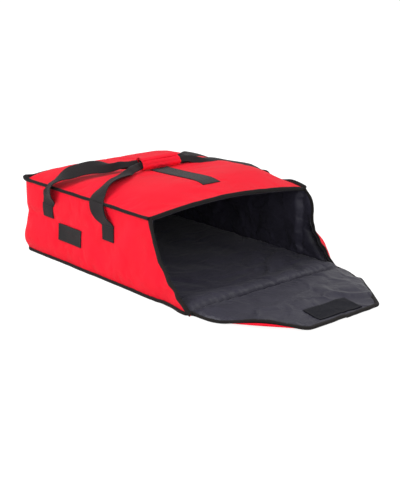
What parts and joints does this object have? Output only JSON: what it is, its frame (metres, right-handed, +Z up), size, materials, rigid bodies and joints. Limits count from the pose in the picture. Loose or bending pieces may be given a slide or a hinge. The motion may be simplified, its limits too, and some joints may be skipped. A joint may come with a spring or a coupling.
{
  "type": "pizza delivery bag",
  "caption": "Soft insulated delivery bag with a domed top, gusseted front mouth, fold-down padded front flap and two webbing straps joined by a padded grip.",
  "frame": {"origin": "centre of the bag body's resting face, on the surface it stands on", "axes": "+Z up; the mouth faces -Y and the open front panel lies that way; +X is to the right of someone looking into the mouth"},
  "size_m": [0.4662, 0.77, 0.217],
  "materials": {
    "red_cloth": "plain woven polyester, matt with a faint coated sheen",
    "lining": "thin smooth woven polyester, slightly glossy",
    "insulation": "soft white fibre batt",
    "binding": "woven polyester binding tape, matt",
    "webbing": "ribbed woven webbing, matt",
    "loop_tape": "fuzzy loop tape, matt",
    "hook_tape": "hook tape, matt",
    "patch": "smooth blank patch, satin",
    "foam": "soft foam"
  },
  "bodies": {
    "bag": {"bottom_outer": "red_cloth", "bottom_insulation": "insulation", "bottom_lining": "lining", "left_wall_outer": "red_cloth", "left_wall_insulation": "insulation", "left_wall_lining": "lining", "right_wall_outer": "red_cloth", "right_wall_insulation": "insulation", "right_wall_lining": "lining", "rear_wall_outer": "red_cloth", "rear_wall_insulation": "insulation", "rear_wall_lining": "lining", "top_outer": "red_cloth", "top_insulation": "insulation", "top_lining": "lining", "top_edge_binding": "binding", "bottom_edge_binding": "binding", "mouth_top_binding": "binding", "closure_loop_strip": "loop_tape", "label_patch": "patch", "front_strap_left_end": "webbing", "front_strap_right_end": "webbing", "rear_strap_left_end": "webbing", "rear_strap_right_end": "webbing", "left_gusset_upper": "red_cloth", "left_gusset_upper_lining": "lining", "left_gusset_upper_binding": "binding", "right_gusset_upper": "red_cloth", "right_gusset_upper_lining": "lining", "right_gusset_upper_binding": "binding"},
    "front_panel": {"front_panel_outer": "red_cloth", "front_panel_lower_insulation": "insulation", "front_panel_lower_lining": "lining", "front_panel_upper_insulation": "insulation", "front_panel_upper_lining": "lining", "front_panel_left_binding": "binding", "front_panel_right_binding": "binding", "left_gusset_lower": "red_cloth", "left_gusset_lower_lining": "lining", "left_gusset_lower_binding": "binding", "right_gusset_lower": "red_cloth", "right_gusset_lower_lining": "lining", "right_gusset_lower_binding": "binding"},
    "tongue": {"tongue_outer": "red_cloth", "tongue_insulation": "insulation", "tongue_lining": "lining", "tongue_binding": "binding", "closure_hook_strip": "hook_tape"},
    "handle": {"front_strap": "webbing", "rear_strap": "webbing", "grip_padding": "foam", "grip_wrap": "red_cloth", "grip_loop_tape": "loop_tape"},
    "grip_flap": {"grip_flap": "red_cloth", "grip_hook_tape": "hook_tape"}
  },
  "joints": [
    {"name": "front_fold", "type": "hinge", "parent": "bag", "child": "front_panel", "pos_m": [0, -0.225, 0.0106], "axis": [-1, 0, 0], "range_deg": [0, 90], "deforming": ["left_gusset_upper", "left_gusset_upper_lining", "left_gusset_upper_binding", "right_gusset_upper", "right_gusset_upper_lining", "right_gusset_upper_binding", "left_gusset_lower", "left_gusset_lower_lining", "left_gusset_lower_binding", "right_gusset_lower", "right_gusset_lower_lining", "right_gusset_lower_binding"]},
    {"name": "tongue_fold", "type": "hinge", "parent": "front_panel", "child": "tongue", "pos_m": [0, -0.3934, 0.0106], "axis": [-1, 0, 0], "range_deg": [0, 83]},
    {"name": "handle_lift", "type": "slide", "parent": "bag", "child": "handle", "axis": [0, 0, 1], "range_m": [0, 0.075], "deforming": ["front_strap", "rear_strap"]},
    {"name": "grip_flap_hinge", "type": "hinge", "parent": "handle", "child": "grip_flap", "pos_m": [0, 0.01938, 0.2161], "axis": [1, 0, 0], "range_deg": [0, 110]}
  ]
}
